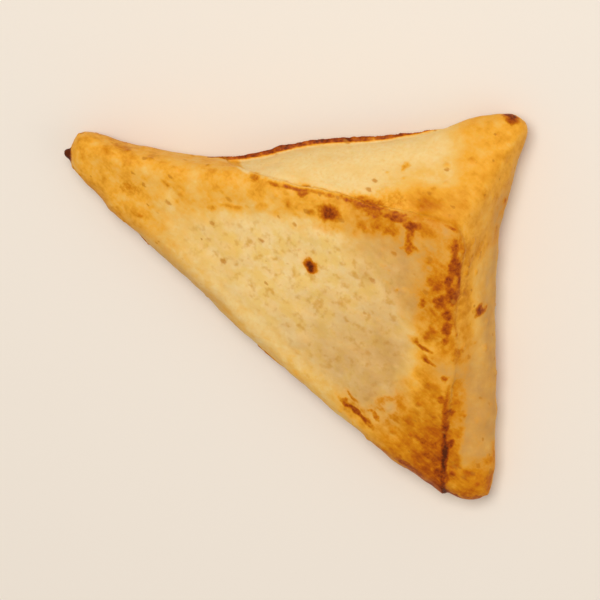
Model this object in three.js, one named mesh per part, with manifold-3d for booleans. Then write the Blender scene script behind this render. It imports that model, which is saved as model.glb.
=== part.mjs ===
// A baked triangular samosa: a strip of thin pastry folded flag-wise round a filling, so that the
// outside is a plump three-cornered parcel. Millimetres, +Z up, lying on the flat of its underside.
// +X runs along the long folded side, from the left tip to the right tip, and +Y to the peak tip.
// It is one closed solid: the parcel; the closing flap, one sheet more over the large top panel, whose
// free edge runs from the left side over the crown to the right tip; the raw edge of the layer below,
// which stands out of the left side; three ends of it under the long side; the last turn of the strip,
// which ends in a straight edge on the underside; and a burnt nib of pastry at the left tip.
import * as THREE from "three";
import { mergeVertices } from "three/addons/utils/BufferGeometryUtils.js";
import Module from "manifold-3d";

const v2 = (x, y) => new THREE.Vector2(x, y);

// ---- driving dimensions ----------------------------------------------------------------------------
const SHEET = 0.9; // one baked sheet of pastry

// Plan. A blunt tip is cut square to the line towards `aim`. A side bows out by `bow`, or in where it
// is negative, most at the share `middle` of its length. Where it has a `swell`, it stands out by that
// much more round the share `at`, and `reach` is how fast that dies out.
const LEFT_TIP = { at: v2(0.9, 2.5), aim: v2(61, 22), width: 7.2 };
const RIGHT_TIP = { at: v2(105.8, 1.8), aim: v2(61, 26), width: 5.0 };
const PEAK_TIP = { at: v2(63.1, 65.3), aim: v2(64, 30), width: 5.0 };
const LONG_SIDE = { bow: 1.9, middle: 0.66 };
const RIGHT_SIDE = { bow: -4.2, middle: 0.67 };
const LEFT_SIDE = { bow: -7.9, middle: 0.57, swell: 2.2, at: 0.46, reach: 0.13 };
const CORNER_BLEND = 1.4; // rounding where sides and blunt ends meet
const WIDEST = 120; // no point of the outline is this far from the middle

// Heights.
const PARTING = 6.2; // height of the fold line round the parcel, near its middle
const TIP_PARTING = 4.8; // the same at a tip
const PARTING_REACH = 60; // distance over which it falls from one to the other
const FOLD = 2.4; // radius of the folded sides
const CROWN = 13.2; // rise of the large panel above the folded side
const PANEL_REACH = 48; // level distance from the long side to the top of the panel
const PANEL_DOME = 1.35; // 1 is a plain slope, more is domed
const RIDGE_BLEND = 1.3; // rounding of the ridges beside the panel
const RIDGE_SHARPNESS = 3.2; // of the ridge between the two strips
const END_REACH = 3; // the rise dies out this close to a blunt end
const SAG = 5.5; // how far the underside would hang below the fold
const SAG_REACH = 10;
const TABLE_TURN = 1.2; // soft turn from the sag to the flat of the underside

// The two ridges beside the large panel, along which the flap has its free edge.
const LEFT_RIDGE = [v2(22.7, 19.5), v2(60.2, 41.0)];
const RIGHT_RIDGE = [v2(72.9, 38.2), v2(97.6, 1.2)];
const FLAP_CORNER = 5; // rounding of the flap's corner on the crown
const FLAP_START = [v2(22.9, 18.35), v2(31.8, 24.45)]; // where its free edge comes over the left side
const FLAP_LEAD = 8; // rise of its bound from there to well past the left tip
const FLAP_TAIL = 12; // the free edge runs on past its ridge, off the long side
const SEAM = 5.4; // height of the flap's seam along the long side and round the left tip

const UNDER_EDGE = [v2(-5, 7), v2(115, 20)]; // end of the last turn, across the underside
const UNDER_SEAM = 3; // height at which that turn dies out in the folded sides

// Raw edges: where they start and end along a side, how far they stand out, and their top.
const LEFT_RAW = { first: 0.14, last: 0.86, out: 1.5, height: 6.4 };
const LONG_RAWS = [
  { first: 0.09, last: 0.15, out: 1.8, height: 5.0 },
  { first: 0.17, last: 0.25, out: 2.0, height: 4.8 },
  { first: 0.48, last: 0.59, out: 1.7, height: 4.6 },
];

const NIB = { radius: 1.2, stretch: [1.2, 0.9, 0.9], fromTip: v2(0.3, -1.6), height: 5.6 };

// Facets.
const MIDDLE = v2(60, 25); // the parcel's spokes meet here
const SPOKES = 124;
const RINGS = 36;
const SPOKE_ENTRY = 3; // a spoke aims this deep, square to the outline, before it turns to the middle
const RING_CROWDING = 1.6; // above 1, rings crowd towards the fold
const OUTLINE_STEPS = 1440;
const HALVINGS = 40;
const RAW_STEPS = 20;
const SAME_POINT = 1e-4;
const BEYOND = 20; // clear of the parcel on any side

// ---- plan ------------------------------------------------------------------------------------------
const softMin = (values, blend) => {
  const least = Math.min(...values);
  return least - blend * Math.log(values.reduce((sum, value) => sum + Math.exp((least - value) / blend), 0));
};
const softPlus = (value, blend) => blend * Math.log1p(Math.exp(value / blend));
const directionOf = ([from, to]) => to.clone().sub(from).normalize();
const leftOf = (line, p) => directionOf(line).cross(p.clone().sub(line[0]));

function cutTip({ at, aim, width }) {
  const inward = directionOf([at, aim]);
  const across = v2(-inward.y, inward.x).multiplyScalar(width / 2);
  return { at, inward, right: at.clone().sub(across), left: at.clone().add(across) };
}
const [leftTip, rightTip, peakTip] = [LEFT_TIP, RIGHT_TIP, PEAK_TIP].map(cutTip);

// Distance inside one bowed side, which runs anticlockwise from one tip to the next.
function insideSide([from, to], { bow, middle, swell = 0, at = 0.5, reach = 1 }, p) {
  const run = to.clone().sub(from);
  const share = THREE.MathUtils.clamp(p.clone().sub(from).dot(run) / run.lengthSq(), 0, 1);
  const skewed = share ** (Math.log(0.5) / Math.log(middle));
  const swollen = swell * Math.exp(-(((share - at) / reach) ** 2));
  return leftOf([from, to], p) + bow * 4 * skewed * (1 - skewed) + swollen;
}
const longLine = [leftTip.right, rightTip.left];
const rightLine = [rightTip.right, peakTip.left];
const leftLine = [peakTip.right, leftTip.left];
const insideLong = (p) => insideSide(longLine, LONG_SIDE, p);
const insideRight = (p) => insideSide(rightLine, RIGHT_SIDE, p);
const insideLeft = (p) => insideSide(leftLine, LEFT_SIDE, p);
const insideEnds = (p) => [leftTip, rightTip, peakTip].map(({ at, inward }) => p.clone().sub(at).dot(inward));
const inside = (p) => softMin([insideLong(p), insideRight(p), insideLeft(p), ...insideEnds(p)], CORNER_BLEND);

// The outline lies where `inside` is nought: from the middle outwards, by halving.
function outlinePoint(angle) {
  const heading = v2(Math.cos(angle), Math.sin(angle));
  let near = 0;
  let far = WIDEST;
  for (let step = 0; step < HALVINGS; step++) {
    const half = (near + far) / 2;
    if (inside(MIDDLE.clone().addScaledVector(heading, half)) > 0) near = half;
    else far = half;
  }
  return MIDDLE.clone().addScaledVector(heading, near);
}
const STEP_ANGLE = (2 * Math.PI) / OUTLINE_STEPS;
const turn = Array.from({ length: OUTLINE_STEPS + 1 }, (_, i) => outlinePoint(i * STEP_ANGLE));
const outline = new THREE.Path(turn).getSpacedPoints(SPOKES).slice(0, SPOKES);
const spokes = outline.map((rim, i) => {
  const inward = directionOf([outline.at(i - 1), outline[(i + 1) % SPOKES]]);
  const entry = rim.clone().addScaledVector(v2(-inward.y, inward.x), SPOKE_ENTRY);
  return new THREE.QuadraticBezierCurve(rim, entry, MIDDLE);
});

// ---- heights ---------------------------------------------------------------------------------------
function partingHeight(p) {
  const share = Math.min(p.distanceTo(MIDDLE) / PARTING_REACH, 1);
  return THREE.MathUtils.lerp(PARTING, TIP_PARTING, share * share);
}
const quarterRound = (depth) => FOLD * Math.sqrt(1 - (1 - THREE.MathUtils.clamp(depth / FOLD, 0, 1)) ** 2);

// A strip falls from its ridge to its side: 1 on the panel, 0 on the side.
function stripShare(ridge, distance, p) {
  const room = Math.max(distance, SAME_POINT);
  return room / (room + softPlus(leftOf(ridge, p), RIDGE_BLEND));
}

function topHeight(p) {
  const short = 1 - THREE.MathUtils.clamp(insideLong(p) / PANEL_REACH, 0, 1);
  const panel = CROWN * (1 - short ** PANEL_DOME);
  const left = stripShare(LEFT_RIDGE, insideLeft(p), p) ** -RIDGE_SHARPNESS;
  const right = stripShare(RIGHT_RIDGE, insideRight(p), p) ** -RIDGE_SHARPNESS;
  const strips = (left + right - 1) ** (-1 / RIDGE_SHARPNESS);
  const endShare = (depth) => 1 - Math.exp(-Math.max(depth, 0) / END_REACH);
  const ends = insideEnds(p).reduce((share, depth) => share * endShare(depth), 1);
  return partingHeight(p) + quarterRound(inside(p)) + panel * strips * ends;
}

function bottomHeight(p) {
  const depth = Math.max(inside(p), 0);
  const hang = partingHeight(p) - quarterRound(depth) - SAG * (1 - Math.exp(-depth / SAG_REACH));
  const blend = Math.max(TABLE_TURN - Math.abs(hang - SHEET), 0) / TABLE_TURN;
  return Math.max(hang, SHEET) + (blend * blend * TABLE_TURN) / 4;
}

// ---- solids ----------------------------------------------------------------------------------------
// The parcel: a sphere whose meridians are led along the spokes, and whose two halves follow the top
// and the underside. `grow` lays a further thickness all over it.
function parcelGeometry(grow) {
  const sphere = new THREE.SphereGeometry(1, SPOKES, RINGS);
  const place = sphere.getAttribute("position");
  const uv = sphere.getAttribute("uv");
  for (let i = 0; i < place.count; i++) {
    const spoke = spokes[(Math.round(uv.getX(i) * SPOKES) + SPOKES) % SPOKES];
    const ring = Math.round(uv.getY(i) * RINGS) / (RINGS / 2) - 1; // -1 below, 0 on the fold, 1 on top
    const p = spoke.getPoint(Math.abs(ring) ** RING_CROWDING);
    const height = ring === 0 ? partingHeight(p) : ring > 0 ? topHeight(p) : bottomHeight(p);
    place.setXYZ(i, p.x, p.y, height);
  }
  sphere.deleteAttribute("normal");
  sphere.deleteAttribute("uv");
  const parcel = mergeVertices(sphere, SAME_POINT);
  parcel.computeVertexNormals();
  const skin = parcel.getAttribute("position");
  const normal = parcel.getAttribute("normal");
  const point = new THREE.Vector3();
  const outward = new THREE.Vector3();
  for (let i = 0; i < skin.count; i++) {
    outward.fromBufferAttribute(normal, i);
    point.fromBufferAttribute(skin, i).addScaledVector(outward, grow);
    skin.setXYZ(i, point.x, point.y, point.z);
  }
  parcel.deleteAttribute("normal");
  return parcel;
}

const wasm = await Module();
wasm.setup();

function solid(geometry) {
  const bare = geometry.clone();
  bare.deleteAttribute("normal");
  bare.deleteAttribute("uv");
  const merged = mergeVertices(bare, SAME_POINT);
  const vertProperties = new Float32Array(merged.getAttribute("position").array);
  const triVerts = new Uint32Array(merged.index.array);
  return new wasm.Manifold(new wasm.Mesh({ numProp: 3, vertProperties, triVerts }));
}

function geometryOf(made) {
  const { vertProperties, triVerts } = made.getMesh();
  const geometry = new THREE.BufferGeometry();
  geometry.setAttribute("position", new THREE.BufferAttribute(new Float32Array(vertProperties), 3));
  geometry.setIndex(new THREE.BufferAttribute(new Uint32Array(triVerts), 1));
  return geometry;
}

function prism(points, bottom, top) {
  const depth = top - bottom;
  const plate = new THREE.ExtrudeGeometry(new THREE.Shape(points), { depth, bevelEnabled: false });
  return plate.translate(0, 0, bottom);
}

const parcel = solid(parcelGeometry(0));
const grown = solid(parcelGeometry(SHEET));

// The closing flap: over the panel, from the seam up to its free edge.
const alongLeft = directionOf(LEFT_RIDGE);
const alongRight = directionOf(RIGHT_RIDGE);
const toRight = leftOf(RIGHT_RIDGE, LEFT_RIDGE[0]) / alongRight.cross(alongLeft);
const corner = LEFT_RIDGE[0].clone().addScaledVector(alongLeft, -toRight);
const cornerStart = corner.clone().addScaledVector(alongLeft, -FLAP_CORNER);
const cornerEnd = corner.clone().addScaledVector(alongRight, FLAP_CORNER);
const edgeEnd = RIGHT_RIDGE[1].clone().addScaledVector(alongRight, FLAP_TAIL);
const freeEdge = new THREE.Path();
freeEdge.moveTo(FLAP_START[0].x, FLAP_START[0].y);
freeEdge.lineTo(FLAP_START[1].x, FLAP_START[1].y);
freeEdge.lineTo(cornerStart.x, cornerStart.y);
freeEdge.quadraticCurveTo(corner.x, corner.y, cornerEnd.x, cornerEnd.y);
freeEdge.lineTo(edgeEnd.x, edgeEnd.y);
const flapPlan = [
  v2(-BEYOND, FLAP_START[0].y + FLAP_LEAD),
  ...freeEdge.getPoints(8),
  v2(edgeEnd.x, -BEYOND),
  v2(-BEYOND, -BEYOND),
];
const flap = grown.intersect(solid(prism(flapPlan, SEAM, SEAM + 2 * BEYOND)));

// The last turn of the strip: round the two short sides and under the parcel.
const [underLeft, underRight] = UNDER_EDGE;
const beyondPeak = PEAK_TIP.at.y + BEYOND;
const underPlan = [underLeft, underRight, v2(underRight.x, beyondPeak), v2(underLeft.x, beyondPeak)];
const lastTurn = grown.intersect(solid(prism(underPlan, -BEYOND, UNDER_SEAM)));

// A raw edge is one sheet that stands out of a folded side and tapers off at both ends.
function rawEdge([from, to], { first, last, out, height }) {
  const rim = [];
  const root = [];
  for (let i = 0; i <= RAW_STEPS; i++) {
    const share = i / RAW_STEPS;
    const guide = from.clone().lerp(to, THREE.MathUtils.lerp(first, last, share));
    const edge = outlinePoint(guide.sub(MIDDLE).angle());
    const outward = directionOf([MIDDLE, edge]);
    rim.push(edge.clone().addScaledVector(outward, out * Math.sqrt(Math.sin(Math.PI * share))));
    root.push(edge.clone().addScaledVector(outward, -FOLD));
  }
  return solid(prism([...rim, ...root.reverse()], height - SHEET, height));
}
const rawEdges = [rawEdge(leftLine, LEFT_RAW), ...LONG_RAWS.map((raw) => rawEdge(longLine, raw))];

// A burnt nib of pastry at the left tip.
const nibPlace = LEFT_TIP.at.clone().add(NIB.fromTip);
const nib = new THREE.SphereGeometry(NIB.radius, 12, 8).scale(...NIB.stretch);
nib.translate(nibPlace.x, nibPlace.y, NIB.height);

const whole = [flap, lastTurn, ...rawEdges, solid(nib)].reduce((sum, piece) => sum.add(piece), parcel);

const crust = new THREE.MeshStandardMaterial({ color: 0xe1b86e, roughness: 0.6, metalness: 0 });
const samosa = new THREE.Mesh(geometryOf(whole), crust);
samosa.name = "samosa";

// The origin is the middle of the footprint, on the table.
const bounds = new THREE.Box3().setFromObject(samosa);
const centre = bounds.getCenter(new THREE.Vector3());
samosa.position.set(-centre.x, -centre.y, -bounds.min.z);

const group = new THREE.Group();
group.add(samosa);
export default group;
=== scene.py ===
import math

import bpy
import numpy as np
from mathutils import Matrix, Vector, noise


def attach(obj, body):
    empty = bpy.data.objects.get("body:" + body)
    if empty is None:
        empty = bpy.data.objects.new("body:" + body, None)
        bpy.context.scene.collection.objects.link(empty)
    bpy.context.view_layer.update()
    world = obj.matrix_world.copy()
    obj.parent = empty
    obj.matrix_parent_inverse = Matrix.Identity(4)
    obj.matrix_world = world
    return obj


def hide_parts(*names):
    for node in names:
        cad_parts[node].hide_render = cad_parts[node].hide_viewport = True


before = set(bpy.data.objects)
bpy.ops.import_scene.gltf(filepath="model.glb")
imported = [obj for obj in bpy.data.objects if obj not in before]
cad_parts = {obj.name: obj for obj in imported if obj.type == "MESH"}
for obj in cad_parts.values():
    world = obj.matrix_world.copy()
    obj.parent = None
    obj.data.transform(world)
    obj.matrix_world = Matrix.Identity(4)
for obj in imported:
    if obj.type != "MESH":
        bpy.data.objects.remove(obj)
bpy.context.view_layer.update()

# ---- The filled parcel -----------------------------------------------------------------------------
# A strip of thin wheat pastry, folded corner over corner round a spiced filling, so that the outside
# is a plump three-cornered parcel. Plan measures are millimetres from the left tip, x along the long
# folded side and y towards the peak; z is up from the tray.

MM = 0.001
SHEET = 0.9  # one baked sheet of pastry
FOOTPRINT_MIDDLE = np.array([52.77, 30.28])  # lies over the frame's origin

CORNER_BLEND = 1.4  # how roundly two sides meet at a corner
MIDDLE = np.array([60.0, 25.0])  # where all cross-sections meet
WIDEST = 120.0  # from there, farther than any point of the outline
LEFT_RIDGE = np.array([[22.7, 19.5], [60.2, 41.0]])  # the folds between the panel and the two strips
RIGHT_RIDGE = np.array([[72.9, 38.2], [97.6, 1.2]])

PARTING, TIP_PARTING, PARTING_REACH = 6.2, 4.8, 60.0  # height of the fold line round the parcel
FOLD = 2.4  # radius of the folded sides
CROWN, PANEL_REACH, PANEL_DOME = 13.2, 48.0, 1.35  # how far the panel rises, over what, how domed
RIDGE_BLEND, RIDGE_SHARPNESS = 1.3, 3.2
END_REACH = 3.0  # over which the parcel thickens behind each blunt tip
SAG, SAG_REACH, TABLE_TURN = 5.5, 10.0, 1.2  # how far the belly hangs, over what, its turn to the tray

SPOKES = 640  # cross-sections round the parcel
SPOKE_ENTRY = 3.0  # how far each of them starts out square to the rim
OUTLINE_POINTS = 1441
RIM_HALVINGS, EDGE_HALVINGS = 40, 30  # how finely the outline and the flap's edge are found
SLOPE_STEP = 0.02


def blunt_tip(at, aim, width):
    at, aim = np.array(at), np.array(aim)
    inward = (aim - at) / np.linalg.norm(aim - at)
    across = np.array([-inward[1], inward[0]]) * width / 2
    return {"at": at, "inward": inward, "right": at - across, "left": at + across}


left_tip = blunt_tip((0.9, 2.5), (61.0, 22.0), width=7.2)
right_tip = blunt_tip((105.8, 1.8), (61.0, 26.0), width=5.0)
peak_tip = blunt_tip((63.1, 65.3), (64.0, 30.0), width=5.0)
long_side = {"line": (left_tip["right"], right_tip["left"]), "bow": 1.9, "middle": 0.66}
right_side = {"line": (right_tip["right"], peak_tip["left"]), "bow": -4.2, "middle": 0.67}
left_side = {"line": (peak_tip["right"], left_tip["left"]), "bow": -7.9, "middle": 0.57}
LEFT_SWELL, SWELL_AT, SWELL_REACH = 2.2, 0.46, 0.13  # the left side stands out round this share of it


def left_of(line, p):
    run = (line[1] - line[0]) / np.linalg.norm(line[1] - line[0])
    away = p - line[0]
    return run[0] * away[..., 1] - run[1] * away[..., 0]


def inside_side(side, p):
    """Distance inside one bowed side of the parcel."""
    start, end = side["line"]
    run = end - start
    share = np.clip((p - start) @ run / (run @ run), 0, 1)
    skewed = share ** (math.log(0.5) / math.log(side["middle"]))
    swollen = LEFT_SWELL * np.exp(-(((share - SWELL_AT) / SWELL_REACH) ** 2)) if side is left_side else 0
    return left_of(side["line"], p) + side["bow"] * 4 * skewed * (1 - skewed) + swollen


def inside_tip(tip, p):
    return (p - tip["at"]) @ tip["inward"]


def inside(p):
    """Distance inside the parcel's outline, which is where it is nought."""
    sides = [inside_side(side, p) for side in (long_side, right_side, left_side)]
    values = np.stack(sides + [inside_tip(tip, p) for tip in (left_tip, right_tip, peak_tip)])
    least = values.min(0)
    return least - CORNER_BLEND * np.log(np.exp((least - values) / CORNER_BLEND).sum(0))


def outline_point(angle):
    heading = np.stack([np.cos(angle), np.sin(angle)], -1)
    near, far = np.zeros(len(angle)), np.full(len(angle), WIDEST)
    for _ in range(RIM_HALVINGS):
        half = (near + far) / 2
        within = inside(MIDDLE + heading * half[:, None]) > 0
        near, far = np.where(within, half, near), np.where(within, far, half)
    return MIDDLE + heading * near[:, None]


def evenly_along(path, count):
    """That many points at equal steps along an open path, both ends among them."""
    reach = np.concatenate([[0], np.cumsum(np.linalg.norm(np.diff(path, axis=0), axis=1))])
    at = np.linspace(0, reach[-1], count)
    return np.stack([np.interp(at, reach, path[:, axis]) for axis in range(path.shape[1])], -1)


def parting_height(p):
    share = np.minimum(np.linalg.norm(p - MIDDLE, axis=-1) / PARTING_REACH, 1)
    return PARTING + (TIP_PARTING - PARTING) * share**2


def quarter_round(depth):
    return FOLD * np.sqrt(1 - (1 - np.clip(depth / FOLD, 0, 1)) ** 2)


def strip_share(ridge, distance, p):
    """How far a strip has risen from its side to its ridge; 1 on the panel."""
    room = np.maximum(distance, 1e-4)
    return room / (room + RIDGE_BLEND * np.log1p(np.exp(left_of(ridge, p) / RIDGE_BLEND)))


def top_height(p):
    panel = CROWN * (1 - (1 - np.clip(inside_side(long_side, p) / PANEL_REACH, 0, 1)) ** PANEL_DOME)
    left = strip_share(LEFT_RIDGE, inside_side(left_side, p), p) ** -RIDGE_SHARPNESS
    right = strip_share(RIGHT_RIDGE, inside_side(right_side, p), p) ** -RIDGE_SHARPNESS
    rise = panel * (left + right - 1) ** (-1 / RIDGE_SHARPNESS)
    for tip in (left_tip, right_tip, peak_tip):
        rise = rise * (1 - np.exp(-np.maximum(inside_tip(tip, p), 0) / END_REACH))
    return parting_height(p) + quarter_round(inside(p)) + rise


def bottom_height(p):
    depth = np.maximum(inside(p), 0)
    hang = parting_height(p) - quarter_round(depth) - SAG * (1 - np.exp(-depth / SAG_REACH))
    blend = np.maximum(TABLE_TURN - np.abs(hang - SHEET), 0) / TABLE_TURN
    return np.maximum(hang, SHEET) + blend**2 * TABLE_TURN / 4


def outward(p, height, up):
    """Unit normal of the surface z = height(p), on its upper or its lower face."""
    step = SLOPE_STEP
    slope_x = (height(p + [step, 0]) - height(p - [step, 0])) / (2 * step)
    slope_y = (height(p + [0, step]) - height(p - [0, step])) / (2 * step)
    normal = np.stack([-slope_x, -slope_y, np.ones_like(slope_x)], -1) * up
    return normal / np.linalg.norm(normal, axis=-1, keepdims=True)


def fade(start, end, value):
    """0 before `start`, 1 after `end`, with a smooth turn between them."""
    share = np.clip((value - start) / (end - start), 0, 1)
    return share * share * (3 - 2 * share)


def wander(values, length, row):
    """A smooth random walk between about -1 and 1, which changes over `length`."""
    return np.array([2 * noise.noise(Vector((value / length, 7.3 * row, 0.4))) for value in values])


outline = outline_point(np.linspace(0, 2 * math.pi, OUTLINE_POINTS))
rim = evenly_along(outline, SPOKES + 1)[:-1]
tangent = np.roll(rim, -1, axis=0) - np.roll(rim, 1, axis=0)
tangent /= np.linalg.norm(tangent, axis=1, keepdims=True)
entry = rim + np.stack([-tangent[:, 1], tangent[:, 0]], -1) * SPOKE_ENTRY


def on_spoke(share):
    """Points on the curved lines from the rim (0) to the middle (1); one row for each spoke."""
    share = share[..., None]
    return (1 - share) ** 2 * rim[:, None] + 2 * (1 - share) * share * entry[:, None] + share**2 * MIDDLE


# The closing flap: the end of the strip, one sheet more over the large panel. Its free edge comes off
# the left side, runs up over the crown and down the right ridge, and lifts a little where it dried.
FLAP_CORNER = 5.0
FLAP_START = np.array([[22.9, 18.35], [31.8, 24.45]])  # where it comes over the left side
FLAP_TAIL = 12.0  # how far it runs on past the right ridge
EDGE_STEP = 0.6
EDGE_WANDER = (0.32, 9.0)  # how far it strays, and over what length
EDGE_FRAY = (0.12, 1.9)
HORN_LEAD = np.array([-40.0, 8.0])  # from the start of the free edge: all of the left horn is flap
EDGE_LIFT, LIFT_REACH = 0.5, 2.4  # how far it lifts, and how far in that dies out
LIFT_WANDER = 11.0  # over what length the lift comes and goes
RIDGE_ROUND, LEFT_ROUND, LOW_ROUND = 5.0, 0.4, 1.2  # how far in from its edge the sheet thickens
BAKED_DOWN, SHARP = 0.02, 0.38  # share of the sheet's thickness at its very edge, and what lifting adds
POCKET = 1.5  # how deep the gap under the lifted edge goes
POCKET_SINK = 0.1  # how far its end lies in the strip below
SHORTEST_SPOKE = 20.0

along_left = (LEFT_RIDGE[1] - LEFT_RIDGE[0]) / np.linalg.norm(LEFT_RIDGE[1] - LEFT_RIDGE[0])
along_right = (RIGHT_RIDGE[1] - RIGHT_RIDGE[0]) / np.linalg.norm(RIGHT_RIDGE[1] - RIGHT_RIDGE[0])
ridge_angle = along_right[0] * along_left[1] - along_right[1] * along_left[0]
corner = LEFT_RIDGE[0] - along_left * left_of(RIGHT_RIDGE, LEFT_RIDGE[0]) / ridge_angle
bend_start, bend_end = corner - along_left * FLAP_CORNER, corner + along_right * FLAP_CORNER
bend = [
    (1 - t) ** 2 * bend_start + 2 * (1 - t) * t * corner + t**2 * bend_end for t in np.linspace(0, 1, 9)
]
free_edge = np.array([*FLAP_START, *bend, RIGHT_RIDGE[1] + along_right * FLAP_TAIL])
edge_length = np.linalg.norm(np.diff(free_edge, axis=0), axis=1).sum()
free_edge = evenly_along(free_edge, int(edge_length / EDGE_STEP))
edge_reach = np.linspace(0, edge_length, len(free_edge))
corner_reach = edge_reach[np.linalg.norm(free_edge - corner, axis=1).argmin()]
edge_run = np.gradient(free_edge, axis=0)
edge_run /= np.linalg.norm(edge_run, axis=1, keepdims=True)
stray = EDGE_WANDER[0] * wander(edge_reach, EDGE_WANDER[1], 1)
stray += EDGE_FRAY[0] * wander(edge_reach, EDGE_FRAY[1], 2)
free_edge = free_edge + np.stack([-edge_run[:, 1], edge_run[:, 0]], -1) * stray[:, None]
lead_point = free_edge[0] + HORN_LEAD
edge_path = np.concatenate([[lead_point], free_edge])
path_reach = np.concatenate([[-np.linalg.norm(HORN_LEAD)], edge_reach])


def flap_place(p):
    """Distance from the free edge, above nought on the flap, and how far along the edge that is."""
    flat = p.reshape(-1, 2)
    start, run = edge_path[:-1], np.diff(edge_path, axis=0)
    nearest, along = np.full(len(flat), np.inf), np.zeros(len(flat))
    side = np.zeros(len(flat))
    for i, (a, r) in enumerate(zip(start, run)):
        share = np.clip((flat - a) @ r / (r @ r), 0, 1)
        away = flat - a - share[:, None] * r
        distance = np.linalg.norm(away, axis=1)
        closer = distance < nearest
        nearest = np.where(closer, distance, nearest)
        along = np.where(closer, path_reach[i] + share * np.linalg.norm(r), along)
        side = np.where(closer, r[1] * away[:, 0] - r[0] * away[:, 1], side)
    return (nearest * np.sign(side)).reshape(p.shape[:-1]), along.reshape(p.shape[:-1])


def first_crossing(measure):
    """Share of each spoke, from the rim, at which `measure` turns from below nought to above it."""
    near, far = np.zeros(SPOKES), np.ones(SPOKES)
    for _ in range(EDGE_HALVINGS):
        half = (near + far) / 2
        above = measure(on_spoke(half[:, None])[:, 0]) > 0
        near, far = np.where(above, near, half), np.where(above, half, far)
    return np.where(measure(rim) > 0, 0, near)


edge_at = first_crossing(lambda p: flap_place(p)[0])
whole_flap = (edge_at == 0)[:, None]
edge_along = flap_place(on_spoke(edge_at[:, None])[:, 0])[1]

# Along the left ridge the edge lifts off and stays sharp; along the right ridge it is baked down round.
on_left_edge = 1 - fade(corner_reach - 8, corner_reach + 2, edge_along)
at_low_end = fade(corner_reach + 24, corner_reach + 34, edge_along)
lift = EDGE_LIFT * np.clip(0.45 + 0.75 * wander(edge_along, LIFT_WANDER, 3), 0.05, 1.2)
lift = np.where(whole_flap[:, 0], 0, lift * (on_left_edge + 0.2 * at_low_end))[:, None]
edge_round = RIDGE_ROUND - (RIDGE_ROUND - LEFT_ROUND) * on_left_edge
edge_round = (edge_round - (RIDGE_ROUND - LOW_ROUND) * at_low_end)[:, None]
edge_start = (BAKED_DOWN + SHARP * np.maximum(on_left_edge, at_low_end))[:, None]
spoke_length = 2 * np.linalg.norm(
    (1 - edge_at)[:, None] * (entry - rim) + edge_at[:, None] * (MIDDLE - entry), axis=1
)
pocket_share = (POCKET / np.maximum(spoke_length, SHORTEST_SPOKE))[:, None]

# One cross-section for each spoke, from the top of the crown out over the flap, into the pocket under
# its edge, down the strip to the fold, and back along the underside to its middle.
FLAP_ROWS, POCKET_ROWS, STRIP_ROWS, UNDER_ROWS = 110, 5, 60, 60
EDGE_CROWDING, RIM_CROWDING = 1.5, 1.6  # the rows lie closer towards the flap's edge and the rim
at = edge_at[:, None]
flap_share = at + (1 - at) * np.linspace(1, 0, FLAP_ROWS)[None, :] ** EDGE_CROWDING
strip_share_rows = at * np.linspace(1, 0, STRIP_ROWS)[None, :] ** RIM_CROWDING
pocket_in = np.linspace(0, 1, POCKET_ROWS)[None, :]
pocket_share_rows = np.minimum(at + pocket_share * pocket_in, 1)


def skin(share, height, up, thickness):
    p = on_spoke(share)
    return np.concatenate([p, height(p)[..., None]], -1) + outward(p, height, up) * thickness[..., None]


flap_depth, _ = flap_place(on_spoke(flap_share))
flap_depth = np.maximum(flap_depth, 0)
rounding = np.sqrt(1 - (1 - np.minimum(flap_depth / edge_round, 1)) ** 2)
flap_rise = SHEET * np.where(whole_flap, 1, edge_start + (1 - edge_start) * rounding)
flap_rise = flap_rise + lift * np.exp(-flap_depth / LIFT_REACH)
roof = lift * (1 - pocket_in) - POCKET_SINK * pocket_in + np.zeros((SPOKES, POCKET_ROWS))
rows = [skin(flap_share, top_height, 1, flap_rise)]
rows.append(skin(pocket_share_rows, top_height, 1, np.where(whole_flap, SHEET, roof)))
below_flap = np.where(whole_flap, SHEET, 0.0)  # at the left horn there is no strip below, only flap
for share in (pocket_share_rows[:, ::-1], strip_share_rows):
    rows.append(skin(share, top_height, 1, below_flap * np.ones_like(share)))

# The last turn of the strip goes under the parcel and ends in a straight edge on the underside. Round
# the long side and the left tip the flap is tucked in just below the fold.
UNDER_EDGE = np.array([[-5.0, 7.0], [115.0, 20.0]])
UNDER_SEAM = (3.8, 2.4)  # the last turn thickens between these heights
TUCK = (1.6, 0.2)  # how far below the fold line the flap's seam dies out, and starts to

under_at = first_crossing(lambda p: left_of(UNDER_EDGE, p))[:, None]
spread = np.linspace(0, 1, UNDER_ROWS)[None, :]
outer_share = under_at * spread**RIM_CROWDING
inner_share = under_at + (1 - under_at) * np.where(under_at > 0, spread, spread**RIM_CROWDING)
turned = (under_at > 0) * 1.0


def under_skin(share, has_last_turn):
    p = on_spoke(share)
    z = bottom_height(p)
    last_turn = has_last_turn * fade(*UNDER_SEAM, z)
    parting = parting_height(p)
    tucked = np.where(whole_flap, 1, 0) * fade(parting - TUCK[0], parting - TUCK[1], z)
    return skin(share, bottom_height, -1, SHEET * np.maximum(last_turn, tucked))


rows.append(under_skin(outer_share, 1 - turned))
rows.append(under_skin(inner_share, np.ones_like(under_at)))

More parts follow.
